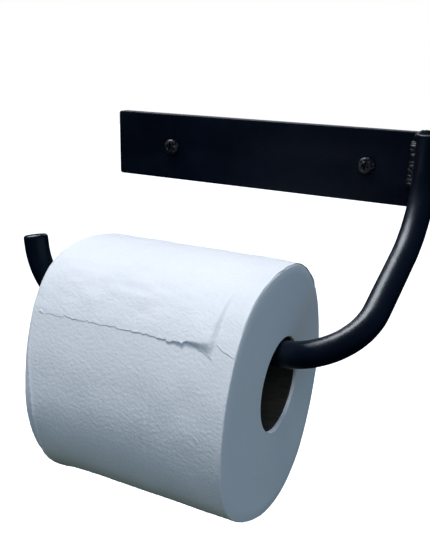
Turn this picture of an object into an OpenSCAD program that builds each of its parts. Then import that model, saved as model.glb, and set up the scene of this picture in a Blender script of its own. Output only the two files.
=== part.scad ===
// Wall-mounted toilet paper holder: a flat steel back plate, one bent round bar welded
// to it, two wall screws in plugs, and the paper roll that hangs and turns on the bar.
// Millimetres. +X runs along the plate towards the welded end, +Y goes into the wall,
// +Z is up. The origin is the centre of the plate's back face.

/* [Back plate] */
// Length of the flat bar
plate_l = 203.2; // [195:0.1:260]
// Height of the flat bar
plate_h = 38.1; // [32:0.1:60]
// Thickness of the flat bar
plate_t = 6.35; // [4.5:0.05:9]
// Radius of the ground corners
plate_corner_r = 1.6; // [0.5:0.1:4]

/* [Bent bar] */
// Diameter of the round bar
bar_d = 12.7; // [10:0.1:14]
// Distance from the plate's welded end to the centre of the upright leg
leg_inset = 14.6; // [12:0.1:20]
// Depth of the first corner of the bar below the plate's centre
elbow_drop = 24.6; // [22:0.1:32]
// Distance of the roll bar's centre line from the wall
reach = 96.4; // [92:0.1:110]
// Depth of the roll bar's centre line below the plate's centre
bar_drop = 74; // [70:0.1:80]
// How far the sloping leg leans towards the plate's middle
leg_lean = 7; // [0:0.1:10]
// Distance of the outer corner of the bar from the plate's middle
outer_corner_x = 89.3; // [86:0.1:100]
// Lean of the upturned end, outwards, towards the wall and upwards
tip_rise = [-6.2, 3, 34.7];
// Centre-line radius of the bend below the plate
bend_1_r = 47.9; // [36:0.1:50]
// Centre-line radius of the bend beside the roll
bend_2_r = 37.5; // [32:0.1:38]
// Centre-line radius of the upturned end
bend_3_r = 35.2; // [32:0.1:37]
// Rounding of the bar's free end
tip_round = 1.4; // [0.5:0.1:3]

/* [Weld beads] */
// Radius of the bead's section
bead_r = 4.2; // [3:0.1:4.5]
// Length of each bead along the upright leg
bead_l = 31; // [15:0.5:34]

/* [Screws and plugs] */
// Distance of the first screw from the plate's free end
screw_inset_a = 37.8; // [20:0.1:60]
// Distance of the second screw from the plate's welded end
screw_inset_b = 46.6; // [40:0.1:70]
// Thread diameter of the screws
screw_d = 4.8; // [4:0.1:5]
// Length of the screws under the head
screw_l = 38; // [35:1:50]
// Diameter of the pan heads
head_d = 9.3; // [8.5:0.1:11]
// Height of the pan heads
head_h = 2.7; // [2.2:0.1:3.5]
// Diameter of the holes in the plate
hole_d = 5.5; // [5.3:0.1:6]
// Outer diameter of the wall plugs
plug_d = 6.4; // [6:0.1:8]
// Length of the wall plugs
plug_l = 31; // [28:1:40]
// Depth of the plugs' mouths behind the wall face
plug_sink = 3; // [2.5:0.5:6]

/* [Paper roll] */
// Width of the roll along the bar
roll_w = 100; // [90:1:106]
// Outer diameter of the wound paper
roll_d = 117; // [90:1:125]
// Distance of the roll's end from the plate's middle, on the welded side
roll_end_x = 49.5; // [48:0.1:50]
// Inner diameter of the cardboard core
core_id = 43.6; // [40:0.1:46]
// Wall thickness of the cardboard core
core_t = 0.8; // [0.6:0.1:1.5]
// How far the core stops short of the paper at the welded end
core_recess = 2.6; // [0:0.1:5]
// How far the loose windings hang forward and below the core's centre
windings_sag = [-2, -3];
// Thickness of the outermost sheet
sheet_t = 0.5; // [0.3:0.1:1]
// Angle of the torn edge, from the wall side over the top
tear_angle = 142.5; // [120:0.5:175]
// Length of the outermost sheet between perforations
sheet_l = 112; // [90:1:125]

/* [Hidden] */
$fn = 72;
bar_r = bar_d / 2;
leg_x = plate_l / 2 - leg_inset;
leg_y = -(plate_t + bar_r);
ARM_PATH = [[leg_x, leg_y, plate_h / 2],
            [leg_x, leg_y, -elbow_drop],
            [leg_x - leg_lean, -reach, -bar_drop],
            [-outer_corner_x, -reach, -bar_drop],
            [-outer_corner_x, -reach, -bar_drop] + tip_rise];
BEND_R = [0, bend_1_r, bend_2_r, bend_3_r, 0];
joint_gap = 0.1;
joint_proud = 0.05;
joint_l = 1;
SCREW_X = [screw_inset_a - plate_l / 2, plate_l / 2 - screw_inset_b];
screw_point_l = 4.6;
recess_l = 4.8;
recess_w = 1.15;
recess_depth = 1.7;
hang_gap = 0.3;
core_z = bar_r + hang_gap - core_id / 2 - bar_drop;
core_od = core_id + 2 * core_t;
wound_centre = [-reach + windings_sag[0], core_z + windings_sag[1]];
sheet_angle = sheet_l / (PI * roll_d) * 360;
BLACK = [0.03, 0.035, 0.05];
PAPER = [0.93, 0.95, 0.97];
CARD = [0.55, 0.45, 0.34];
NYLON = [0.75, 0.76, 0.76];

function unit(v) = v / norm(v);
// Matrix whose Z axis runs along z and whose X axis is as near to x as it can be
function placed(origin, z, x) =
    let (zc = unit(z), yc = unit(cross(zc, x)), xc = cross(yc, zc))
    [[xc[0], yc[0], zc[0], origin[0]],
     [xc[1], yc[1], zc[1], origin[1]],
     [xc[2], yc[2], zc[2], origin[2]],
     [0, 0, 0, 1]];
function before(i) = unit(ARM_PATH[i - 1] - ARM_PATH[i]);
function after(i) = unit(ARM_PATH[i + 1] - ARM_PATH[i]);
// Angle through which the bar turns at corner i, and the length of bar it takes each side
function turn(i) = 180 - acos(before(i) * after(i));
function setback(i) = BEND_R[i] == 0 ? 0 : BEND_R[i] * tan(turn(i) / 2);

// Straight length of bar between corners i and i + 1, up to just short of the bends
module straight(i) {
    start = ARM_PATH[i] + after(i) * (i == 0 ? 0 : setback(i) + joint_gap);
    last = i == len(ARM_PATH) - 2;
    end = ARM_PATH[i + 1] + before(i + 1) * (last ? 0 : setback(i + 1) + joint_gap);
    multmatrix(placed(start, end - start, [0.3, 0.2, 1]))
        if (last) rounded_end(norm(end - start));
        else cylinder(r = bar_r, h = norm(end - start));
}

// Short ring that joins each end of bend i to the straight beside it, a hair wider than the bar
module bend_joints(i) {
    for (way = [before(i), after(i)])
        multmatrix(placed(ARM_PATH[i] + way * setback(i), way, [0.3, 0.2, 1]))
            cylinder(r = bar_r + joint_proud, h = joint_l, center = true);
}

// A straight stub whose far end has a rounded rim
module rounded_end(h) {
    rotate_extrude() {
        square([bar_r - tip_round, h]);
        square([bar_r, h - tip_round]);
        translate([bar_r - tip_round, h - tip_round]) intersection() {
            circle(r = tip_round);
            square(tip_round);
        }
    }
}

module bend(i) {
    middle = ARM_PATH[i] + unit(before(i) + after(i)) * BEND_R[i] / cos(turn(i) / 2);
    first = ARM_PATH[i] + before(i) * setback(i) - middle;
    last = ARM_PATH[i] + after(i) * setback(i) - middle;
    multmatrix(placed(middle, cross(first, last), first))
        rotate_extrude(angle = turn(i)) translate([BEND_R[i], 0]) circle(r = bar_r);
}

module holder_arm() {
    color(BLACK) {
        for (i = [0 : len(ARM_PATH) - 2]) straight(i);
        for (i = [1 : len(ARM_PATH) - 2]) {
            bend(i);
            bend_joints(i);
        }
    }
}

module plate_outline() {
    l = plate_l / 2 - plate_corner_r;
    h = plate_h / 2 - plate_corner_r;
    square([plate_l, 2 * h], center = true);
    square([2 * l, plate_h], center = true);
    for (x = [-l, l], y = [-h, h]) translate([x, y]) circle(r = plate_corner_r);
}

module back_plate() {
    color(BLACK) difference() {
        rotate([90, 0, 0]) linear_extrude(plate_t) plate_outline();
        for (x = SCREW_X) translate([x, 0, 0])
            rotate([90, 0, 0]) translate([0, 0, -1]) cylinder(d = hole_d, h = plate_t + 2);
    }
}

// Fillet weld in the groove between the upright leg and the plate, side is -1 or 1
module weld_bead(side) {
    offset_x = bar_r - 0.6;
    top = plate_h / 2 - bead_r;
    color(BLACK) difference() {
        translate([leg_x + side * offset_x, -plate_t, 0]) {
            translate([0, 0, top - bead_l + 2 * bead_r]) cylinder(r = bead_r, h = bead_l - 2 * bead_r);
            for (z = [top, top - bead_l + 2 * bead_r]) translate([0, 0, z]) sphere(r = bead_r);
        }
        translate([leg_x, leg_y, -plate_h]) cylinder(r = bar_r, h = 2 * plate_h);
        translate([leg_x - plate_h, -plate_t, -plate_h]) cube(2 * plate_h);
    }
}

// Pan-head wood screw with a cross recess, pointing along +Y
module screw(x) {
    color(BLACK) translate([x, -plate_t, 0]) difference() {
        rotate([-90, 0, 0]) {
            cylinder(d = screw_d, h = screw_l - screw_point_l);
            translate([0, 0, screw_l - screw_point_l])
                cylinder(d1 = screw_d, d2 = 0.4, h = screw_point_l);
            pan_head();
        }
        for (turned = [0, 90]) rotate([0, turned, 0])
            translate([-recess_l / 2, -head_h - 1, -recess_w / 2])
                cube([recess_l, recess_depth + 1, recess_w]);
    }
}

// Head with a flat top and a well rounded edge, its seat at z = 0
module pan_head() {
    edge_r = head_h * 0.6;
    translate([0, 0, -head_h]) rotate_extrude() {
        translate([0, edge_r]) square([head_d / 2, head_h - edge_r]);
        square([head_d / 2 - edge_r, head_h]);
        translate([head_d / 2 - edge_r, edge_r]) intersection() {
            circle(r = edge_r);
            translate([0, -edge_r]) square(edge_r);
        }
    }
}

// Plastic plug round the screw's thread, in the wall
module wall_plug(x) {
    color(NYLON) translate([x, plug_sink, 0]) rotate([-90, 0, 0]) difference() {
        cylinder(d = plug_d, h = plug_l);
        translate([0, 0, -1]) cylinder(d = screw_d, h = plug_l + 2);
    }
}

// Moves a shape built along +Z so that it runs along the bar, from the roll's free end
module along_roll(centre) {
    translate([roll_end_x - roll_w, centre[0], centre[1]])
        multmatrix([[0, 0, 1, 0], [1, 0, 0, 0], [0, 1, 0, 0], [0, 0, 0, 1]]) children();
}

module core_tube() {
    color(CARD) along_roll([-reach, core_z]) difference() {
        cylinder(d = core_od, h = roll_w - core_recess);
        translate([0, 0, -1]) cylinder(d = core_id, h = roll_w + 2);
    }
}

module paper_roll() {
    color(PAPER) difference() {
        along_roll(wound_centre) cylinder(d = roll_d, h = roll_w);
        translate([-1, 0, 0]) along_roll([-reach, core_z]) cylinder(d = core_od, h = roll_w + 2);
    }
}

// Outermost sheet, from the torn edge in front up and over the top of the roll
module tail_sheet() {
    color(PAPER) along_roll(wound_centre)
        rotate([0, 0, tear_angle - sheet_angle])
            rotate_extrude(angle = sheet_angle) translate([roll_d / 2, 0]) square([sheet_t, roll_w]);
}

back_plate();
holder_arm();
weld_bead(-1);  // weld_bead_inner
weld_bead(1);  // weld_bead_outer
screw(SCREW_X[0]);  // screw_left
screw(SCREW_X[1]);  // screw_right
wall_plug(SCREW_X[0]);  // wall_plug_left
wall_plug(SCREW_X[1]);  // wall_plug_right
core_tube();
paper_roll();
tail_sheet();
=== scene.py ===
"""Looks of the wall-mounted toilet paper holder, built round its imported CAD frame.

Lengths are in millimetres while a shape is made, and in metres once it is a mesh. Around the
roll, an angle of 0 points at the wall, 90 up and 180 to the front.
"""

import math

import bmesh
import bpy
import numpy as np
from mathutils import Euler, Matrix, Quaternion, Vector


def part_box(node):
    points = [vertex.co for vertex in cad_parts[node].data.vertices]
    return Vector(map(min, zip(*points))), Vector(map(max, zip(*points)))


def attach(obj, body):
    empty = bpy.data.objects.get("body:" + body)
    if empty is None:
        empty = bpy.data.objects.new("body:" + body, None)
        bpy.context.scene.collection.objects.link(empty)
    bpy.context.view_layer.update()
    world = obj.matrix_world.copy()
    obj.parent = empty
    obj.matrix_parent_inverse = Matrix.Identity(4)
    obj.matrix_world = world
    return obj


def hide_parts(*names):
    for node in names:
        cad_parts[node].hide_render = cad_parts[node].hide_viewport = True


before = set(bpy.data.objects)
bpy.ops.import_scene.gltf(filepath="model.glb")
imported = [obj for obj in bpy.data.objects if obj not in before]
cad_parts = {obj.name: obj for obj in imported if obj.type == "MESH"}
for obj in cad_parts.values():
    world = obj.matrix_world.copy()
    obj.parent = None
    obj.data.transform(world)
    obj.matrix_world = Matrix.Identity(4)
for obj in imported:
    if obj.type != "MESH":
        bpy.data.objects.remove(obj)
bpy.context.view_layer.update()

MM = 0.001


def box_mm(node):
    """Lowest and highest corner of a CAD node, in millimetres."""
    low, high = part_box(node)
    return np.array(low) / MM, np.array(high) / MM


# ---------------------------------------------------------------- measures from the frame

PLATE_LOW, PLATE_HIGH = box_mm("back_plate")
ARM_LOW, ARM_HIGH = box_mm("holder_arm")
PAPER_LOW, PAPER_HIGH = box_mm("paper_roll")
CORE_LOW, CORE_HIGH = box_mm("core_tube")
ROLL_CENTRE = (CORE_LOW + CORE_HIGH)[1:] / 2
ROLL_LEFT, ROLL_RIGHT = PAPER_LOW[0], PAPER_HIGH[0]
CORE_OUTER_R = (CORE_HIGH - CORE_LOW)[1] / 2

BAR_R = 6.35
LEG_X, LEG_Y = (ARM_HIGH - BAR_R)[:2]
BAR_Y, BAR_Z = (ARM_LOW + BAR_R)[1:]

# The bar's path between those places, which its box doesn't give: as in the part's source
ELBOW_Z = -24.6
LEG_LEAN = 7.0
OUTER_CORNER_X = -89.3
TIP_RISE = (-6.2, 3.0, 34.7)
BEND_RADII = (47.9, 37.5, 35.2)


# ---------------------------------------------------------------- meshes

def smoothstep(t):
    """Goes gently from 0 to 1 as t does, and stays there outside that range."""
    t = np.clip(t, 0, 1)
    return t * t * (3 - 2 * t)


def mesh_piece(name, points, faces, materials, sharp_angle=None, face_slots=None):
    """A smooth-shaded mesh object from points in millimetres."""
    mesh = bpy.data.meshes.new(name)
    mesh.from_pydata((np.asarray(points) * MM).tolist(), [], [list(map(int, f)) for f in faces])
    for material in materials:
        mesh.materials.append(material)
    mesh.polygons.foreach_set("use_smooth", [True] * len(mesh.polygons))
    if face_slots is not None:
        mesh.polygons.foreach_set("material_index", [int(s) for s in face_slots])
    piece = bpy.data.objects.new(name, mesh)
    bpy.context.scene.collection.objects.link(piece)
    outwards(mesh)
    if sharp_angle is not None:
        mesh.set_sharp_from_angle(angle=math.radians(sharp_angle))
    return piece


def outwards(mesh):
    """Turns every face of a closed mesh outwards."""
    edit = bmesh.new()
    edit.from_mesh(mesh)
    bmesh.ops.recalc_face_normals(edit, faces=edit.faces)
    edit.to_mesh(mesh)
    edit.free()


def grid_faces(rows, columns, wrap_rows=False, wrap_columns=False, start=0):
    """Quads between neighbouring points of a grid that is stored row by row."""
    r = np.arange(rows if wrap_rows else rows - 1)
    c = np.arange(columns if wrap_columns else columns - 1)
    r, c = (a.ravel() for a in np.meshgrid(r, c, indexing="ij"))
    below, beside = (r + 1) % rows, (c + 1) % columns
    return (np.stack([r * columns + c, r * columns + beside,
                      below * columns + beside, below * columns + c], 1) + start).tolist()


def capped_rings(rings):
    """Points and faces of a closed body made of rings, with a point closing each end."""
    count, around = rings.shape[:2]
    points = np.concatenate([rings.reshape(-1, 3), [rings[0].mean(0)], [rings[-1].mean(0)]])
    faces = grid_faces(count, around, wrap_columns=True)
    first, last = count * around, (count - 1) * around
    for i in range(around):
        j = (i + 1) % around
        faces.append([first, j, i])
        faces.append([first + 1, last + i, last + j])
    return points, faces


def hashed(seed, *cells):
    """Repeatable random numbers from 0 to 1, one for each whole-numbered cell."""
    low = np.uint64(0xFFFFFFFF)
    h = np.full(np.broadcast(*cells).shape, (0x9E3779B9 * (seed + 1)) & 0xFFFFFFFF, np.uint64)
    for cell in cells:
        h = (h ^ (np.asarray(cell).astype(np.int64).astype(np.uint64) & low))
        for factor in (0x85EBCA6B, 0xC2B2AE35):
            h = (h * np.uint64(factor)) & low
            h = h ^ (h >> np.uint64(15))
    return h.astype(float) / 2.0 ** 32


def noise(u, v, seed, wrap=None):
    """Smooth noise from -1 to 1, one feature to each unit. u repeats after wrap units."""
    u, v = np.broadcast_arrays(np.asarray(u, float), np.asarray(v, float))
    iu, iv = np.floor(u), np.floor(v)
    fu, fv = smoothstep(u - iu), smoothstep(v - iv)

    def corner(a, b):
        return hashed(seed, (iu + a) % wrap if wrap else iu + a, iv + b)

    near = corner(0, 0) * (1 - fu) + corner(1, 0) * fu
    far = corner(0, 1) * (1 - fu) + corner(1, 1) * fu
    return 2 * (near * (1 - fv) + far * fv) - 1


def pebbles(u, v, seed, wrap=None):
    """Embossed bumps from 0 to 1, about one to each square unit. u repeats after wrap units."""
    u, v = np.broadcast_arrays(np.asarray(u, float), np.asarray(v, float))
    iu, iv = np.floor(u), np.floor(v)
    margin, lowest, breadth = 0.2, 0.35, 0.10
    top = np.zeros(u.shape)
    for a in (-1, 0, 1):
        for b in (-1, 0, 1):
            cu, cv = iu + a, iv + b
            key = cu % wrap if wrap else cu
            # A bump stands anywhere in its cell but the margins. Every second row is moved half a cell
            du = u - cu - margin - (1 - 2 * margin) * hashed(seed, key, cv) - 0.5 * (cv % 2)
            dv = v - cv - margin - (1 - 2 * margin) * hashed(seed + 1, key, cv)
            height = lowest + (1 - lowest) * hashed(seed + 2, key, cv)
            top = np.maximum(top, height * np.exp(-(du * du + dv * dv) / breadth))
    return top


# ---------------------------------------------------------------- material nodes

def new_material(name):
    """A material, its node tree and its Principled shader."""
    material = bpy.data.materials.new(name)
    material.use_nodes = True
    return material, material.node_tree, material.node_tree.nodes["Principled BSDF"]


def add(tree, kind, values=None, settings=None, **links):
    """A node with its settings, its unlinked values and the sockets linked into it."""
    node = tree.nodes.new(kind)
    for key, value in (settings or {}).items():
        setattr(node, key, value)
    for key, value in (values or {}).items():
        node.inputs[key].default_value = value
    for key, socket in links.items():
        target = node.inputs[int(key[1:])] if key[1:].isdigit() else node.inputs[key]
        tree.links.new(socket, target)
    return node


def place_of(tree):
    """The place on the object, in its own metres."""
    return add(tree, "ShaderNodeTexCoord").outputs["Object"]


def noise_node(tree, where, scale, detail=2.0, roughness=0.5):
    """Noise around 0.5 with that many features to the metre."""
    values = {"Scale": scale, "Detail": detail, "Roughness": roughness}
    return add(tree, "ShaderNodeTexNoise", values, Vector=where).outputs["Fac"]


def between(tree, factor, low, high, from_low=0.3, from_high=0.7):
    """A number that follows factor from low to high."""
    values = {"From Min": from_low, "From Max": from_high, "To Min": low, "To Max": high}
    return add(tree, "ShaderNodeMapRange", values, Value=factor).outputs["Result"]


def mixed(tree, factor, colour_a, colour_b):
    """A colour between two, each given as numbers or as a socket."""
    node = add(tree, "ShaderNodeMix", settings={"data_type": "RGBA"})
    tree.links.new(factor, node.inputs["Factor"])
    for socket, colour in ((node.inputs[6], colour_a), (node.inputs[7], colour_b)):
        if isinstance(colour, bpy.types.NodeSocket):
            tree.links.new(colour, socket)
        else:
            socket.default_value = (*colour, 1)
    return node.outputs[2]


def bumped(tree, height, strength, distance, under=None):
    """A normal that follows height, over the relief of another normal."""
    node = add(tree, "ShaderNodeBump", {"Strength": strength, "Distance": distance}, Height=height)
    if under is not None:
        tree.links.new(under, node.inputs["Normal"])
    return node.outputs["Normal"]


def stretched(tree, where, scale):
    """Coordinates scaled by a different factor along each axis."""
    return add(tree, "ShaderNodeMapping", {"Scale": scale}, Vector=where).outputs["Vector"]


# ---------------------------------------------------------------- materials

def powder_coat(name, roughness, peel, gloss):
    """Satin black powder coat: a blue-black with fine orange peel and slight cloudiness."""
    material, tree, shader = new_material(name)
    where = place_of(tree)
    cloud = noise_node(tree, where, 55, 3)
    grain = noise_node(tree, where, 950, 2)
    dust = noise_node(tree, where, 2600, 1)
    dark = mixed(tree, between(tree, cloud, 0, 1), (0.0007, 0.0024, 0.0080), (0.0013, 0.0040, 0.0125))
    tree.links.new(mixed(tree, between(tree, dust, 0, 0.5, 0.62, 0.8), dark, (0.010, 0.012, 0.016)),
                   shader.inputs["Base Color"])
    tree.links.new(between(tree, cloud, roughness - 0.04, roughness + 0.06), shader.inputs["Roughness"])
    fine = bumped(tree, grain, peel, 0.00025)
    tree.links.new(bumped(tree, noise_node(tree, where, 240, 2), peel * 0.6, 0.0006, fine),
                   shader.inputs["Normal"])
    shader.inputs["Specular IOR Level"].default_value = gloss
    return material


def weld_coat():
    """The same coat over weld metal: glossier on the ripples, with its raised lumps painted a lighter teal
    as a painted highlight.
    """
    material, tree, shader = new_material("weld_coat")
    where = place_of(tree)
    lumps = noise_node(tree, where, 300, 3, 0.5)
    # Painted highlight: the colour turns a lighter teal where the lumps stand highest
    tree.links.new(mixed(tree, between(tree, lumps, 0, 1), (0.0015, 0.0035, 0.006), (0.005, 0.012, 0.016)),
                   shader.inputs["Base Color"])
    tree.links.new(between(tree, lumps, 0.40, 0.56), shader.inputs["Roughness"])
    tree.links.new(bumped(tree, lumps, 0.25, 0.0006), shader.inputs["Normal"])
    shader.inputs["Specular IOR Level"].default_value = 0.34
    return material


def black_screw():
    """Black oxide on steel, rubbed a little brighter in patches, with fine turning lines."""
    material, tree, shader = new_material("screw_black")
    where = place_of(tree)
    rub = noise_node(tree, where, 700, 3, 0.6)
    turned = noise_node(tree, stretched(tree, where, (400, 5200, 400)), 1, 2)
    tree.links.new(mixed(tree, between(tree, rub, 0, 1, 0.56, 0.68), (0.006, 0.007, 0.010),
                         (0.16, 0.16, 0.17)), shader.inputs["Base Color"])
    tree.links.new(between(tree, rub, 0.30, 0.46), shader.inputs["Roughness"])
    tree.links.new(bumped(tree, turned, 0.12, 0.0001), shader.inputs["Normal"])
    shader.inputs["Metallic"].default_value = 0.3
    return material


def plug_nylon():
    """Light grey moulded nylon, slightly waxy, with flow marks along the plug."""
    material, tree, shader = new_material("plug_nylon")
    where = place_of(tree)
    flow = noise_node(tree, stretched(tree, where, (260, 40, 260)), 1, 3)
    tree.links.new(mixed(tree, between(tree, flow, 0, 1), (0.50, 0.51, 0.52), (0.60, 0.61, 0.61)),
                   shader.inputs["Base Color"])
    tree.links.new(between(tree, flow, 0.40, 0.55), shader.inputs["Roughness"])
    tree.links.new(bumped(tree, noise_node(tree, where, 1500, 1), 0.08, 0.0002), shader.inputs["Normal"])
    return material


def core_card():
    """Cardboard with fibres that follow the winding of the core, coloured a near-black grey-brown far
    darker than real card: painted shade for the inside of the hole.
    """
    material, tree, shader = new_material("core_card")
    where = place_of(tree)
    wound = add(tree, "ShaderNodeMapping", {"Rotation": (0, 0.6, 0.3), "Scale": (160, 900, 900)},
                Vector=where).outputs["Vector"]
    fibres = noise_node(tree, wound, 1, 4, 0.65)
    flecks = noise_node(tree, where, 420, 2)
    # Painted shade: the card's browns are kept near-black, much darker than real core card
    colour = mixed(tree, between(tree, fibres, 0, 1), (0.040, 0.032, 0.025), (0.072, 0.058, 0.045))
    tree.links.new(mixed(tree, between(tree, flecks, 0, 0.6, 0.6, 0.75), colour, (0.035, 0.029, 0.024)),
                   shader.inputs["Base Color"])
    tree.links.new(between(tree, fibres, 0.82, 0.95), shader.inputs["Roughness"])
    tree.links.new(bumped(tree, fibres, 0.35, 0.0004), shader.inputs["Normal"])
    shader.inputs["Specular IOR Level"].default_value = 0.2
    return material


def embossed_paper(name):
    """Soft white paper: a cellular emboss over crepe lines and fibres, with painted shade in the hollows
    between the cells.
    """
    material, tree, shader = new_material(name)
    where = place_of(tree)
    cells = add(tree, "ShaderNodeTexVoronoi", {"Scale": 800, "Randomness": 1.0},
                {"feature": "F1"}, Vector=where).outputs["Distance"]
    fibres = noise_node(tree, where, 2400, 3, 0.6)
    crepe = noise_node(tree, stretched(tree, where, (180, 900, 900)), 1, 2)
    clouds = noise_node(tree, where, 45, 3)
    colour = mixed(tree, between(tree, clouds, 0, 1), (0.90, 0.915, 0.935), (0.86, 0.88, 0.905))
    # Painted shade: a darker blue-grey away from the cell centres, in the hollows between the embossed
    # domes
    tree.links.new(mixed(tree, between(tree, cells, 0, 0.30, 0.25, 0.8), colour, (0.80, 0.82, 0.85)),
                   shader.inputs["Base Color"])
    tree.links.new(between(tree, fibres, 0.78, 0.92), shader.inputs["Roughness"])
    normal = bumped(tree, fibres, 0.22, 0.0003)
    normal = bumped(tree, crepe, 0.04, 0.0006, normal)
    tree.links.new(bumped(tree, cells, -0.95, 0.0007, normal), shader.inputs["Normal"])
    shader.inputs["Specular IOR Level"].default_value = 0.25
    shader.inputs["Sheen Weight"].default_value = 0.08
    shader.inputs["Sheen Roughness"].default_value = 0.5
    return material


def layered_paper():
    """The roll's end faces: the cut edges of the wound layers, as fine rings about the core."""
    material, tree, shader = new_material("paper_layers")
    where = place_of(tree)
    centre = (0, -ROLL_CENTRE[0] * MM, -ROLL_CENTRE[1] * MM)
    moved = add(tree, "ShaderNodeMapping", {"Location": centre, "Scale": (0, 1, 1)},
                Vector=where).outputs["Vector"]
    radius = add(tree, "ShaderNodeVectorMath", settings={"operation": "LENGTH"}, _0=moved).outputs["Value"]
    along = add(tree, "ShaderNodeCombineXYZ", X=radius).outputs["Vector"]
    rings = noise_node(tree, along, 1900, 3, 0.7)
    bands = noise_node(tree, along, 260, 2)
    fluff = noise_node(tree, where, 900, 3)
    colour = mixed(tree, between(tree, bands, 0, 1), (0.88, 0.90, 0.925), (0.86, 0.88, 0.905))
    tree.links.new(mixed(tree, between(tree, rings, 0, 0.35), colour, (0.80, 0.825, 0.85)),
                   shader.inputs["Base Color"])
    tree.links.new(between(tree, fluff, 0.86, 0.96), shader.inputs["Roughness"])
    normal = bumped(tree, fluff, 0.15, 0.0004)
    tree.links.new(bumped(tree, rings, 0.25, 0.0003, normal), shader.inputs["Normal"])
    shader.inputs["Specular IOR Level"].default_value = 0.2
    return material


# ---------------------------------------------------------------- back plate

def back_plate():
    """The flat bar with its two screw holes, its ground corners and softly broken edges."""
    corner_r, break_r, hole_r = 1.6, 0.45, 2.75
    half = (PLATE_HIGH - PLATE_LOW) / 2
    middle = (PLATE_HIGH + PLATE_LOW) / 2
    curve = bpy.data.curves.new("back_plate_outline", "CURVE")
    curve.dimensions, curve.fill_mode = "2D", "BOTH"
    curve.extrude = (half[1] - break_r) * MM
    curve.bevel_depth, curve.bevel_resolution, curve.offset = break_r * MM, 3, -break_r * MM

    def closed_line(points):
        line = curve.splines.new("POLY")
        line.points.add(len(points) - 1)
        for point, (x, z) in zip(line.points, points):
            point.co = (x * MM, z * MM, 0, 1)
        line.use_cyclic_u = True

    edge = []
    for turn, (sx, sz) in enumerate(((1, 1), (-1, 1), (-1, -1), (1, -1))):
        for step in range(7):
            a = math.radians(90 * turn + 15 * step)
            edge.append((sx * (half[0] - corner_r) + corner_r * math.cos(a),
                         sz * (half[2] - corner_r) + corner_r * math.sin(a)))
    closed_line(edge)
    turns = [math.tau * i / 48 for i in range(48)]
    for node in ("screw_left", "screw_right"):
        low, high = box_mm(node)
        x, z = ((low + high) / 2 - middle)[[0, 2]]
        closed_line([(x + hole_r * math.cos(a), z + hole_r * math.sin(a)) for a in turns])
    shape = bpy.data.objects.new("back_plate_outline", curve)
    bpy.context.scene.collection.objects.link(shape)
    mesh = bpy.data.meshes.new_from_object(shape.evaluated_get(bpy.context.evaluated_depsgraph_get()))
    bpy.data.objects.remove(shape)
    edit = bmesh.new()
    edit.from_mesh(mesh)
    bmesh.ops.remove_doubles(edit, verts=edit.verts, dist=1e-6)
    points = [(v.co.x / MM + middle[0], v.co.z / MM + middle[1], v.co.y / MM + middle[2])
              for v in edit.verts]
    faces = [[v.index for v in f.verts] for f in edit.faces]
    edit.free()
    coat = powder_coat("plate_coat", roughness=0.44, peel=0.08, gloss=0.16)
    return mesh_piece("plate_steel", points, faces, [coat], sharp_angle=50)


# ---------------------------------------------------------------- bent bar

def arm_centreline(step=1.6):
    """Points along the middle of the bar, from its top end to its free end."""
    outer_corner = Vector((OUTER_CORNER_X, BAR_Y, BAR_Z))
    corners = [Vector((LEG_X, LEG_Y, PLATE_HIGH[2])), Vector((LEG_X, LEG_Y, ELBOW_Z)),
               Vector((LEG_X - LEG_LEAN, BAR_Y, BAR_Z)), outer_corner, outer_corner + Vector(TIP_RISE)]
    points = [corners[0]]
    for i, radius in enumerate(BEND_RADII, 1):
        into = (corners[i] - corners[i - 1]).normalized()
        out = (corners[i + 1] - corners[i]).normalized()
        turn = into.angle(out)
        setback = radius * math.tan(turn / 2)
        start = corners[i] - into * setback
        centre = start + (out - into * into.dot(out)).normalized() * radius
        straight = (start - points[-1]).length
        count = max(2, round(straight / step))
        points += [points[-1].lerp(start, k / count) for k in range(1, count)]
        axis = into.cross(out).normalized()
        count = max(4, round(radius * turn / step))
        for k in range(count + 1):
            spoke = start - centre
            spoke.rotate(Quaternion(axis, turn * k / count))
            points.append(centre + spoke)
    count = max(2, round((corners[-1] - points[-1]).length / step))
    last = points[-1].copy()
    points += [last.lerp(corners[-1], k / count) for k in range(1, count + 1)]
    return np.array([tuple(p) for p in points])


def unit_rows(vectors):
    """Each row of an array, scaled to length 1."""
    return vectors / np.linalg.norm(vectors, axis=1)[:, None]


def lengths_along(line):
    """Length of a line of points up to each of them."""
    return np.concatenate([[0], np.cumsum(np.linalg.norm(np.diff(line, axis=0), axis=1))])


def ring_angles(around):
    """Evenly spaced angles of one turn, in radians."""
    return np.arange(around) * math.tau / around


def swept_rings(line, tangents, radii):
    """Rings round a line, without twist: one for each of its points and each row of radii."""
    angles = ring_angles(radii.shape[1])
    side = np.array((1.0, 0, 0))
    rings = []
    for point, tangent, radius in zip(line, tangents, radii):
        side = side - tangent * (side @ tangent)
        side /= np.linalg.norm(side)
        other = np.cross(tangent, side)
        rings.append(point + np.outer(np.cos(angles) * radius, side)
                     + np.outer(np.sin(angles) * radius, other))
    return np.array(rings)


def end_steps(length, radius, edge, steps=6):
    """Distances and radii that round off the edge of a flat end."""
    a = np.linspace(0, math.pi / 2, steps)
    return length - edge + edge * np.sin(a), radius - edge + edge * np.cos(a)


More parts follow.
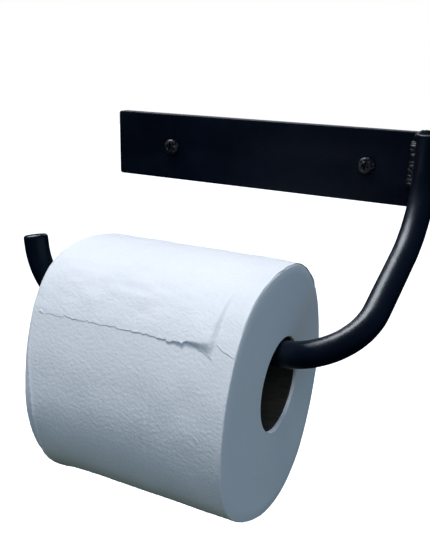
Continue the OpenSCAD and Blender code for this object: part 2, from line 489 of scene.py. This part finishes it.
def holder_arm():
    """The round bar, bent three times, with a cut top end and a rounded free end."""
    top_edge, tip_edge, around = 0.5, 1.5, 56
    line = arm_centreline()
    lengths = lengths_along(line)
    total = lengths[-1]
    top_at, top_r = end_steps(total, BAR_R, top_edge)
    tip_at, tip_r = end_steps(total, BAR_R, tip_edge, 8)
    top_at = total - top_at[::-1]
    inside = lengths[(lengths > top_at[-1] + 0.4) & (lengths < tip_at[0] - 0.4)]
    at = np.concatenate([[0, 0, 0], top_at, inside, tip_at, [total] * 3])
    radii = np.concatenate([[0.8, 2.6, 4.4], top_r[::-1], np.full(len(inside), BAR_R), tip_r,
                            [3.6, 2.0, 0.7]])[:, None]

    def points_at(places):
        return np.stack([np.interp(places, lengths, line[:, k]) for k in range(3)], 1)

    inner = np.clip(at, 0.01, total - 0.01)
    tangents = unit_rows(points_at(inner + 0.5) - points_at(inner - 0.5))
    angles, along = ring_angles(around), at[:, None]
    dents = 0.035 * noise(along / 3.1, angles * 2.5, 11) + 0.02 * noise(along / 1.3, angles * 5, 12)
    # The cut faces at the ends, whose rings are smaller, stay flat
    dents = dents * smoothstep(radii - 5)
    points, faces = capped_rings(swept_rings(points_at(at), tangents, radii + dents))
    coat = powder_coat("bar_coat", roughness=0.31, peel=0.22, gloss=0.5)
    return mesh_piece("arm_bar", points, faces, [coat])


# ---------------------------------------------------------------- weld beads

# Where the seen bead leaves the seam and curls over the bar's top end
OVER_TOP = ((80.4, -9.2, 16.4), (81.2, -11.4, 18.2), (83.4, -11.2, 19.1), (86.4, -9.2, 19.2),
            (90.5, -7.6, 18.9))


def weld_bead(name, node, side, seed, over_top):
    """A rippled bead down one side of the upright leg. The seen one curls over the bar's end."""
    around, ripple_pitch = 30, 2.1
    bead_r, ripple_h, swell = 3.55, 0.42, 0.45
    low, high = box_mm(node)
    bottom, top = low[2] + 2.2, high[2] - 4.0
    seam_x, seam_y = LEG_X + side * 6.3, PLATE_LOW[1] - 0.2
    t = np.linspace(0, 1, 150)
    line = np.stack([seam_x + 0 * t, seam_y + 0 * t, bottom + (top - bottom) * t], 1)
    length = top - bottom
    if over_top:
        hook = np.array([(seam_x, seam_y, top), *OVER_TOP])
        for _ in range(4):
            eased = 0.75 * hook[:-1] + 0.25 * hook[1:], 0.25 * hook[:-1] + 0.75 * hook[1:]
            hook = np.concatenate([hook[:1], np.stack(eased, 1).reshape(-1, 3), hook[-1:]])
        line = np.concatenate([line, hook[1:]])
    along = lengths_along(line)
    line[:, 0] += side * 0.45 * noise(along / 4.3, 0.5, seed)
    line[:, 1] += 0.25 * noise(along / 3.7, 7.5, seed)
    ripple = np.abs(np.sin(math.pi * (along / ripple_pitch + 0.5 * noise(along / 5, 3.5, seed))))
    radii = bead_r + ripple_h * ripple ** 0.6 + swell * noise(along / 3.1, 1.5, seed)
    if over_top:
        radii *= 1 - 0.56 * smoothstep((along - length + 1.5) / 4)
    to_end = np.minimum(along, along[-1] - along)
    radii *= np.sqrt(np.clip(to_end / 2.4, 0.02, 1))
    angles, along = ring_angles(around), along[:, None]
    lumps = 1 + 0.13 * noise(along / 1.7, angles * 1.6, seed + 3)
    lumps += 0.07 * noise(along / 0.7, angles * 4, seed + 4)
    # The noise doesn't repeat round a ring, so its two ends share their mean
    lumps[:, -1] = lumps[:, 0] = (lumps[:, -1] + lumps[:, 0]) / 2
    tangents = unit_rows(np.gradient(line, axis=0))
    points, faces = capped_rings(swept_rings(line, tangents, radii[:, None] * lumps))
    return mesh_piece(name, points, faces, [WELD])


# ---------------------------------------------------------------- screws

def screw(name, node):
    """A pan-head wood screw with a cross recess, a plain neck, a thread and a point."""
    low, high = box_mm(node)
    cx, cz = (low + high)[[0, 2]] / 2
    head_y, seat_y, tip_y = low[1], PLATE_LOW[1], high[1]
    head_r, neck_r, core_r, thread_r = 4.65, 2.25, 1.55, 2.38
    thread_from, point_l, pitch = seat_y + 12, 5.0, 1.9
    angles = ring_angles(72)
    rows = []

    def row(y, radius):
        rows.append(np.stack([cx + radius * np.cos(angles), y + 0 * angles,
                              cz + radius * np.sin(angles)], 1))

    for r in np.concatenate([np.arange(0.12, 3.4, 0.12), np.linspace(3.5, head_r, 9)]):
        crown = head_y + 0.55 * (r / head_r) ** 2 + 1.25 * smoothstep((r - 3.1) / (head_r - 2.6)) ** 2
        row(crown + recess_depth(r * np.cos(angles), r * np.sin(angles)), r)
    for y, r in ((seat_y - 0.75, head_r), (seat_y - 0.15, head_r - 0.05), (seat_y, head_r - 0.3),
                 (seat_y, neck_r + 0.2), (seat_y + 0.3, neck_r), (thread_from - 0.6, neck_r)):
        row(y, r)
    for y in np.arange(thread_from, tip_y - 0.1, 0.24):
        turn = (y / pitch - angles / math.tau) % 1
        ridge = np.clip(1 - np.abs(turn - 0.5) / 0.30, 0, 1) * smoothstep((y - thread_from) / 1.5)
        narrow = np.clip((tip_y - y) / point_l, 0.03, 1)
        row(y, (core_r + (thread_r - core_r) * ridge) * narrow)
    points, faces = capped_rings(np.array(rows))
    points[-1] = (cx, tip_y, cz)
    return mesh_piece(name, points, faces, [SCREW], sharp_angle=48)


def recess_depth(u, v, long=4.8, wide=1.15, deep=1.7):
    """Depth of the tapered cross recess, turned a little from upright."""
    turn = math.radians(16)
    u, v = u * math.cos(turn) - v * math.sin(turn), u * math.sin(turn) + v * math.cos(turn)
    depth = np.zeros(np.shape(u))
    for a, b in ((np.abs(u), np.abs(v)), (np.abs(v), np.abs(u))):
        across = smoothstep((wide / 2 + 0.12 - b) / 0.24)
        ends = smoothstep((long / 2 - a) / 1.5)
        depth = np.maximum(depth, deep * across * ends)
    return depth


# ---------------------------------------------------------------- wall plugs

def wall_plug(name, node):
    """A nylon plug: two ribbed half shells with a slot between them, joined by a collar."""
    low, high = box_mm(node)
    cx, cz = (low + high)[[0, 2]] / 2
    mouth, end = low[1], high[1]
    outer_r, bore_r, rib_h = (high - low)[0] / 2, 2.42, 0.18
    points, faces = [], []

    def shell(start, stop, along, outer, closed):
        count = 36 if closed else 18
        angles = np.radians(np.linspace(start, stop, count, endpoint=not closed))
        loop = []
        for y, r in ([(y, bore_r) for y in along] + [(y, outer(y)) for y in along[::-1]]):
            radius = r + 0 * angles
            if r > bore_r:
                radius = radius + rib_h * (np.cos(4 * angles) > 0.93)
            loop.append(np.stack([cx + radius * np.cos(angles), y + 0 * angles,
                                  cz + radius * np.sin(angles)], 1))
        grid = np.array(loop)
        first = sum(len(p) for p in points)
        points.append(grid.reshape(-1, 3))
        rows = len(loop)
        faces.extend(grid_faces(rows, count, wrap_rows=True, wrap_columns=closed, start=first))
        if not closed:
            half = rows // 2
            for column in (0, count - 1):
                for i in range(half - 1):
                    a, b, c, d = i, i + 1, rows - 2 - i, rows - 1 - i
                    faces.append([first + k * count + column for k in (a, b, c, d)])

    def ribbed(y):
        tooth_pitch = 2.6
        saw = ((y - mouth) / tooth_pitch) % 1
        taper = smoothstep((y - (end - 6)) / 6)
        return outer_r - 0.12 - 0.42 * saw * (mouth + 5 < y < end - 2) - 0.75 * taper

    body = np.arange(mouth + 2.5, end + 0.01, 0.35)
    for start in (8, 188):
        shell(start, start + 164, body, ribbed, closed=False)
    collar = np.linspace(mouth, mouth + 3.4, 8)
    shell(0, 360, collar, lambda y: outer_r - 0.05, closed=True)
    return mesh_piece(name, np.concatenate(points), faces, [NYLON], sharp_angle=35)


# ---------------------------------------------------------------- paper roll

# The loose sheet reaches round the roll from the first angle to the second
SHEET_START, TEAR_ANGLE = 40.0, 146.0
SHEET_T = 0.20
# How far the wound paper stands back under the sheet
UNDER_SHEET = 0.42
# Bumps along the roll, by their distance, and round it, by their number
EMBOSS_PITCH, EMBOSS_CELLS = 1.45, 260
# Angle round the roll, and the radius there at the free end and at the welded end
OUTLINE = ((-172, 60.5, 60.1), (-145, 63.6, 64.3), (-120, 63.7, 62.1), (-97, 63.9, 63.6),
           (-77, 64.5, 65.8), (-58, 62.8, 64.4), (-40, 57.8, 58.4), (-20, 55.4, 55.6),
           (18, 54.6, 53.8), (42, 55.8, 55.5), (70, 55.8, 56.6), (92, 57.4, 57.4),
           (110, 61.4, 59.8), (124, 64.9, 62.0), (138, 63.4, 60.8), (152, 60.0, 59.0),
           (172, 58.6, 58.6))


def smooth_outline(column, spread=5):
    """Radius at each whole degree, from the outline's points, with its corners eased."""
    table = sorted((row[0] % 360, row[column]) for row in OUTLINE)
    degrees = np.arange(360.0)
    radius = np.interp(degrees, [t[0] for t in table], [t[1] for t in table], period=360)
    reach = np.arange(-3 * spread, 3 * spread + 1)
    weight = np.exp(-0.5 * (reach / spread) ** 2)
    return sum(w * np.roll(radius, k) for w, k in zip(weight / weight.sum(), reach))


OUTLINE_LEFT, OUTLINE_RIGHT = smooth_outline(1), smooth_outline(2)


def outline(theta, x):
    """Radius of the roll's surface at an angle and a place along it."""
    degrees = np.arange(360.0)
    left = np.interp(theta % 360, degrees, OUTLINE_LEFT, period=360)
    right = np.interp(theta % 360, degrees, OUTLINE_RIGHT, period=360)
    t = np.clip((x - ROLL_LEFT) / (ROLL_RIGHT - ROLL_LEFT), 0, 1)
    return left * (1 - t) + right * t


def emboss(theta, x, seed=20):
    """Height of the pressed pattern on the paper, in millimetres."""
    around, along = (theta % 360) / 360 * EMBOSS_CELLS, x / EMBOSS_PITCH
    bumps = pebbles(around, along + 100, seed, EMBOSS_CELLS)
    return 0.21 * bumps + 0.02 * noise(around * 2, along * 2 + 300, seed + 5, 2 * EMBOSS_CELLS)


def windings(theta, x):
    """Slow unevenness of the wound layers, which the loose sheet follows."""
    return 0.16 * noise((theta % 360) / 12, x / 11 + 50, 31, 30)


def angle_near(theta, middle):
    """Signed distance in degrees from middle to theta."""
    return (theta - middle + 180) % 360 - 180


def hump(distance, half_width):
    """A bell curve of height 1, by the distance from its middle."""
    return np.exp(-0.5 * (distance / half_width) ** 2)


def rim_width(theta):
    """Width of the crushed rim at the free end: widest low on the front."""
    return 1.1 + 4.5 * hump(angle_near(theta, 192), 17) + 1.8 * hump(angle_near(theta, 232), 26)


def crushed_rim(theta, x):
    """Rise towards the free end, the drop at its rim and the sharp ridge beside it."""
    width, inwards = rim_width(theta), x - ROLL_LEFT
    height = width * (0.43 * np.exp(-inwards / 20) - 0.52 * np.clip(1 - inwards / width, 0, 1) ** 0.75)
    ridge = np.exp(-((inwards - width - 0.35) / 0.42) ** 2)
    return height + 0.56 * ridge * smoothstep((width - 1.3) / 1.2)


def shoulder(theta, x):
    """Drop of the surface towards the welded end's top edge, which is rubbed round."""
    return 1.4 * hump(angle_near(theta, 108), 24) * smoothstep((x - ROLL_RIGHT + 10) / 10) ** 2


def paper_radius(theta, x):
    """Radius of the wound paper under the loose outermost sheet and beside it."""
    covered = smoothstep((angle_near(theta, SHEET_START) + 2) / 6) \
        * smoothstep((TEAR_ANGLE - 1 - theta % 360) / 5) * (theta % 360 < 180)
    radius = outline(theta, x) - UNDER_SHEET * covered + windings(theta, x) + emboss(theta, x)
    crease = 0.09 * np.exp(-((x - 13.2) / 1.1) ** 2) - 0.13 * np.exp(-((x - 15) / 0.9) ** 2)
    lip = hump(angle_near(theta, 190), 8) * np.exp(-((ROLL_RIGHT - 0.9 - x) / 0.5) ** 2)
    return radius + crease * hump(angle_near(theta, 176), 11) + crushed_rim(theta, x) + 0.4 * lip \
        - shoulder(theta, x)


def end_face_shift(theta, radius, seed):
    """How far the wound layers stand back from the end face's plane."""
    towards_wall = radius * np.cos(np.radians(theta))
    skew = 1.2 * smoothstep((towards_wall + 20) / 60)
    layers = 0.05 * noise(radius / 1.6 + theta / 360, 0.5, seed)
    return skew + 0.15 + layers + 0.07 * noise(radius / 9, theta / 40, seed + 1)


def on_roll(theta, radius, x):
    """Points at angles and radii about the core's axis."""
    a = np.radians(theta + 0 * radius)
    return np.stack([x + 0 * a, ROLL_CENTRE[0] + radius * np.cos(a), ROLL_CENTRE[1] + radius * np.sin(a)],
                    -1).reshape(-1, 3)


def wound_paper():
    """The wound paper as one closed ring: outer surface, both layered end faces and its bore."""
    lengthwise, radial, bore, fillet = 196, 9, 9, 0.55
    # Fine steps where the surface shows below the torn edge, wide ones under the loose sheet
    theta = np.concatenate([np.arange(0, 39, 1.0), np.arange(39, 139, 3.4), np.arange(139.4, 212, 0.43),
                            np.arange(212.2, 359.5, 1.0)])[:, None]
    around = len(theta)
    xs, rs, slots = [], [], []

    def strip(x, r, slot):
        x, r = np.broadcast_arrays(x, r)
        xs.append(x + 0 * theta)
        rs.append(r + 0 * theta)
        slots.extend([slot] * xs[-1].shape[1])

    left_r = paper_radius(theta, np.array([[ROLL_LEFT + fillet]]))
    right_r = paper_radius(theta, np.array([[ROLL_RIGHT - fillet]]))
    share = np.linspace(0, 1, radial)[None, :]
    r = CORE_OUTER_R + (left_r - fillet - CORE_OUTER_R) * share
    left_x = ROLL_LEFT + end_face_shift(theta, r, 41) * 0.8
    strip(left_x, r, 1)
    a = np.radians([[30, 60]])
    strip(left_x[:, -1:] + fillet * (1 - np.cos(a)), left_r - fillet * (1 - np.sin(a)), 0)
    r = CORE_OUTER_R + (right_r - fillet - CORE_OUTER_R) * share[:, ::-1]
    right_x = ROLL_RIGHT - end_face_shift(theta, r, 51)
    t = np.linspace(0, 1, lengthwise)[None, :]
    x = (left_x[:, -1:] + fillet) * (1 - t) + (right_x[:, :1] - fillet) * t
    strip(x, paper_radius(theta, x), 0)
    edge_r = paper_radius(theta, right_x[:, :1] - fillet)
    a = np.radians([[60, 30]])
    strip(right_x[:, :1] - fillet * (1 - np.cos(a)), edge_r - fillet * (1 - np.sin(a)), 0)
    strip(right_x, r, 1)
    t = np.linspace(0, 1, bore)[None, 1:-1]
    strip(right_x[:, -1:] * (1 - t) + left_x[:, :1] * t, CORE_OUTER_R + 0 * t, 1)
    x, r = np.concatenate(xs, 1), np.concatenate(rs, 1)
    points = on_roll(theta, r, x)
    columns = x.shape[1]
    faces = grid_faces(around, columns, wrap_rows=True, wrap_columns=True)
    face_slots = [slots[i] for i in range(columns)] * around
    return mesh_piece("wound_paper", points, faces, [embossed_paper("roll_paper"), layered_paper()],
                      sharp_angle=55, face_slots=face_slots)


# ---------------------------------------------------------------- outermost sheet

# Place of the pleat's fold along the roll
FOLD_X = 40.3
# Place along the roll, and the angle of the torn edge there
TEAR_LINE = ((-51, 147.2), (-27, 146.3), (3, 145.6), (24, 146.0), (28.5, 144.8), (36.5, 147.6),
             (39.9, 149.2), (40.5, 143.2), (43.2, 144.8), (48.3, 146.5), (50, 146.6))
# Soft creases in the sheet: place along the roll, lean, half width and height
CREASES = ((-17, 0.11, 1.5, 0.26), (-10, 0.06, 1.1, -0.2), (5, -0.09, 2.0, 0.22), (-38, 0.05, 1.6, 0.18))


def torn_edge(x):
    """Angle of the torn edge: perforation stubs and fibres along the tear line."""
    angle = np.interp(x, *zip(*TEAR_LINE))
    calm = 1 - 0.7 * smoothstep((x - 25) / 3)
    stubs = 0.72 * noise(x / 1.3, 0.5, 61)
    fibres = 0.38 * noise(x / 0.6, 1.5, 62) + 0.28 * noise(x / 4.5, 2.5, 63)
    return angle + np.degrees((stubs + fibres) * calm / 60)


def edge_lift(theta, x, edge):
    """How far the sheet comes off the roll near its torn edge, with a few raised fibres."""
    near_edge, frayed = smoothstep((theta - edge + 9) / 9), smoothstep((theta - edge + 1.6) / 1.6)
    lift = 0.19 * near_edge + 0.08 * near_edge ** 3 * (0.5 + 0.5 * noise(x / 7, 0.5, 71)) \
        + 0.42 * frayed * np.clip(noise(x / 1.5, 3.5, 72), 0, 1) ** 1.5
    return lift * (1 - 0.62 * smoothstep((x - 25) / 4)) + 0.11 * near_edge * smoothstep((-20 - x) / 9)


def sheet_waves(theta, x, edge):
    """Slack waves, gathers and soft creases, which die out at the torn edge."""
    waves = 0.20 * noise(x / 9 + theta / 30, theta / 5.5, 73) * smoothstep((theta - 60) / 40)
    gather = hump(theta - 124, 12) * hump(x + 12, 26)
    waves = waves + gather * 0.30 * noise(x / 7 - theta / 14, theta / 3.0, 74)
    for place, lean, width, height in CREASES:
        crease = np.exp(-((x - place - lean * (theta - 120)) / width) ** 2)
        waves = waves + height * crease * hump(theta - 118, 15)
    return waves * (1 - 0.85 * smoothstep((theta - edge + 9) / 9))


def pleat(theta, x, edge):
    """The pleat: it grows towards the torn edge, is steep on its right and turns under at the end."""
    growth = smoothstep((theta - 116) / 28)
    drop = 0.9 + 2.1 * growth
    rise = smoothstep((FOLD_X - x) / drop)
    fade = np.exp(-(np.clip(FOLD_X - drop - x, 0, None) / 15) ** 2)
    brow = 144.7 - 1.9 * np.clip((x - 29) / 11.3, 0, 1)
    under = smoothstep((theta - brow) / np.clip(edge - brow, 0.4, None)) * (x > 27) * (x < FOLD_X + 0.3)
    return 1.9 * growth * rise * fade * (1 - 0.97 * under)


def sheet_height(theta, x, edge):
    """How far the sheet's outer face stands off the roll's outline, in millimetres."""
    return edge_lift(theta, x, edge) + sheet_waves(theta, x, edge) + pleat(theta, x, edge)


def tail_sheet():
    """The loose outermost sheet, with its torn edge in front and the pleat near one corner."""
    left, right = ROLL_LEFT + 1.2, ROLL_RIGHT - 0.35
    # Columns of points, closer together at the fold
    spans = np.arange(left, 37.2, 0.52), np.arange(37.2, 41.6, 0.2), np.arange(41.6, right, 0.52), [right]
    x = np.unique(np.round(np.concatenate(spans), 3))
    share = np.concatenate([np.linspace(0, 0.86, 150), np.linspace(0.86, 1, 46)[1:]])[:, None]
    edge = torn_edge(x)[None, :]
    theta = SHEET_START + (edge - SHEET_START) * share
    # The side edges wander, and the right one follows the end face, which leans in near the wall
    wander = 0.35 * noise(theta[:, :1] / 6, 0.5, 81), 0.35 * noise(theta[:, :1] / 5, 4.5, 82)
    lean = smoothstep((np.cos(np.radians(theta)) * 58 + 20) / 60)
    t = (x - left) / (right - left)
    place = x[None, :] + wander[0] * (1 - t) ** 8 + wander[1] * t ** 8 - lean * t ** 6
    top = outline(theta, place) + windings(theta, place) + sheet_height(theta, place, edge) \
        + emboss(theta, place) - shoulder(theta, place)
    rows, columns = top.shape
    thickness = SHEET_T * (1 - 0.65 * smoothstep((theta - edge + 1.2) / 1.2))
    outer, inner = on_roll(theta, top, place), on_roll(theta, top - thickness, place)
    faces = grid_faces(rows, columns) + [f[::-1] for f in grid_faces(rows, columns, start=rows * columns)]
    border = [(0, c) for c in range(columns)] + [(r, columns - 1) for r in range(1, rows)] \
        + [(rows - 1, c) for c in range(columns - 2, -1, -1)] + [(r, 0) for r in range(rows - 2, 0, -1)]
    ring = [r * columns + c for r, c in border]
    for a, b in zip(ring, ring[1:] + ring[:1]):
        faces.append([a, b, b + rows * columns, a + rows * columns])
    return mesh_piece("outer_sheet", np.concatenate([outer, inner]), faces,
                      [embossed_paper("sheet_paper")])


# ---------------------------------------------------------------- core tube

def core_tube():
    """The cardboard core: a spiral-wound tube with seams, a little shorter than the paper."""
    left, right = CORE_LOW[0] + 1.2, CORE_HIGH[0]
    outer_r, inner_r, seam_pitch = CORE_OUTER_R - 0.03, CORE_OUTER_R - 0.8, 58.0
    around, lengthwise = 120, 150
    theta = np.degrees(ring_angles(around))[:, None]
    x = np.linspace(left, right, lengthwise)[None, :]

    def seam(offset):
        along = ((x / seam_pitch + theta / 360 + offset) % 1 - 0.5) * seam_pitch
        return np.exp(-(along / 0.55) ** 2)

    inner = inner_r + 0.22 * seam(0.2) + 0.05 * noise(theta / 8, x / 6, 91)
    outer = outer_r - 0.25 * seam(0.7) + 0 * x
    grid_x = np.concatenate([x + 0 * theta, (x + 0 * theta)[:, ::-1]], 1)
    radius = np.concatenate([inner, outer[:, ::-1]], 1)
    return mesh_piece("core_card_tube", on_roll(theta, radius, grid_x),
                      grid_faces(around, grid_x.shape[1], wrap_rows=True, wrap_columns=True),
                      [core_card()], sharp_angle=40)


# ---------------------------------------------------------------- stage, light and camera

def area_light(name, place, towards, size, energy, colour, diffuse, glossy):
    """A soft rectangular studio light, which can leave out matt or glossy surfaces."""
    light = bpy.data.lights.new(name, "AREA")
    light.shape, light.size, light.size_y = "RECTANGLE", size[0], size[1]
    light.energy, light.color = energy, colour
    lamp = bpy.data.objects.new(name, light)
    bpy.context.scene.collection.objects.link(lamp)
    lamp.location = place
    lamp.rotation_euler = (Vector(towards) - Vector(place)).to_track_quat("-Z", "Y").to_euler()
    lamp.visible_diffuse, lamp.visible_glossy = diffuse, glossy


def studio_world():
    """Pale to the eye, and a dim cool surround for the object's shaded sides and reflections."""
    world = bpy.data.worlds.new("studio")
    bpy.context.scene.world = world
    world.use_nodes = True
    tree = world.node_tree
    tree.nodes.clear()
    below, overhead = (0.046, 0.048, 0.006), (0.27, 0.365, 0.52)
    # Height from straight down (0) to overhead (1), and the colour there
    horizon = ((0.42, (0.040, 0.045, 0.014)), (0.56, (0.190, 0.29, 0.40)))
    ray = add(tree, "ShaderNodeLightPath").outputs
    where = add(tree, "ShaderNodeTexCoord").outputs["Generated"]
    up = add(tree, "ShaderNodeSeparateXYZ", Vector=where).outputs["Z"]
    ramp = add(tree, "ShaderNodeValToRGB", Fac=between(tree, up, 0, 1, -1, 1))
    stops = ramp.color_ramp.elements
    stops[0].color, stops[1].color = (*below, 1), (*overhead, 1)
    for height, colour in horizon:
        stops.new(height).color = (*colour, 1)
    strength = between(tree, ray["Is Glossy Ray"], 1.0, 0.07, 0, 1)
    around = add(tree, "ShaderNodeBackground", Color=ramp.outputs["Color"], Strength=strength)
    white = add(tree, "ShaderNodeBackground", {"Color": (1, 1, 1, 1), "Strength": 1.0})
    both = add(tree, "ShaderNodeMixShader", _0=ray["Is Camera Ray"], _1=around.outputs[0],
               _2=white.outputs[0])
    add(tree, "ShaderNodeOutputWorld", Surface=both.outputs[0])


def pale_floor():
    """A plain pale floor far below the holder. It adds no light of its own to the object."""
    bpy.ops.mesh.primitive_plane_add(size=12, location=(0, 0, -0.75))
    floor = bpy.context.object
    floor.name = "studio_floor"
    material, _, shader = new_material("floor_white")
    shader.inputs["Base Color"].default_value = (0.95, 0.95, 0.95, 1)
    shader.inputs["Emission Color"].default_value = (1, 1, 1, 1)
    shader.inputs["Emission Strength"].default_value = 1.0
    floor.data.materials.append(material)
    floor.visible_diffuse = floor.visible_glossy = False


def photo_camera():
    """The camera, at the photograph's viewing angle."""
    data = bpy.data.cameras.new("photo_camera")
    data.lens, data.sensor_width, data.clip_start = 44.51, 36.0, 0.01
    pitch, roll, yaw = 71.5437, -1.3161, 27.8005
    camera = bpy.data.objects.new("photo_camera", data)
    bpy.context.scene.collection.objects.link(camera)
    camera.location = (0.15284, -0.36470, 0.05632)
    camera.rotation_euler = Euler([math.radians(a) for a in (pitch, roll, yaw)], "XYZ")
    bpy.context.scene.camera = camera


MIDDLE = (0, -0.08, -0.06)
# Name, place, aim, size, energy and colour, and whether matt and glossy surfaces see the lamp.
# The softboxes shade the paper. The sky card makes the streaks on the coated metal.
LAMPS = (
    ("key_softbox", (0.0, -0.30, 1.22), MIDDLE, (0.34, 0.34), 10.5, (1.0, 0.935, 0.855), True, False),
    ("front_softbox", (0.40, -1.02, 0.84), MIDDLE, (0.9, 0.6), 3.0, (0.82, 0.89, 1.0), True, False),
    ("sky_card", (-0.64, 0.03, 0.98), (0.08, -0.06, -0.05), (1.0, 0.8), 26, (0.86, 0.93, 1.0), False, True),
    ("back_softbox", (-0.30, 1.10, 0.42), (0, 0, 0), (1.2, 0.45), 2.2, (0.86, 0.88, 1.0), True, True),
)


def studio():
    """The surround, the floor, the camera and the lamps."""
    studio_world()
    pale_floor()
    photo_camera()
    for lamp in LAMPS:
        area_light(*lamp)
    bpy.context.scene.view_settings.view_transform = "Standard"


# ---------------------------------------------------------------- assembly

WELD, SCREW, NYLON = weld_coat(), black_screw(), plug_nylon()

studio()
# (piece, CAD node it stands for, material slot, body)
ASSEMBLY = (
    (back_plate(), "back_plate", "plate_coat", "bracket"),
    (holder_arm(), "holder_arm", "bar_coat", "bracket"),
    (weld_bead("weld_inner", "weld_bead_inner", -1, 101, True), "weld_bead_inner", "weld_coat", "bracket"),
    (weld_bead("weld_outer", "weld_bead_outer", 1, 111, False), "weld_bead_outer", "weld_coat", "bracket"),
    (screw("wood_screw_left", "screw_left"), "screw_left", "screw_black", "bracket"),
    (screw("wood_screw_right", "screw_right"), "screw_right", "screw_black", "bracket"),
    (wall_plug("nylon_plug_left", "wall_plug_left"), "wall_plug_left", "plug_nylon", "bracket"),
    (wall_plug("nylon_plug_right", "wall_plug_right"), "wall_plug_right", "plug_nylon", "bracket"),
    (core_tube(), "core_tube", "core_card", "roll"),
    (wound_paper(), "paper_roll", "roll_paper", "roll"),
    (tail_sheet(), "tail_sheet", "sheet_paper", "roll"),
)
for piece, node, slot, body in ASSEMBLY:
    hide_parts(node)
    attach(piece, body)
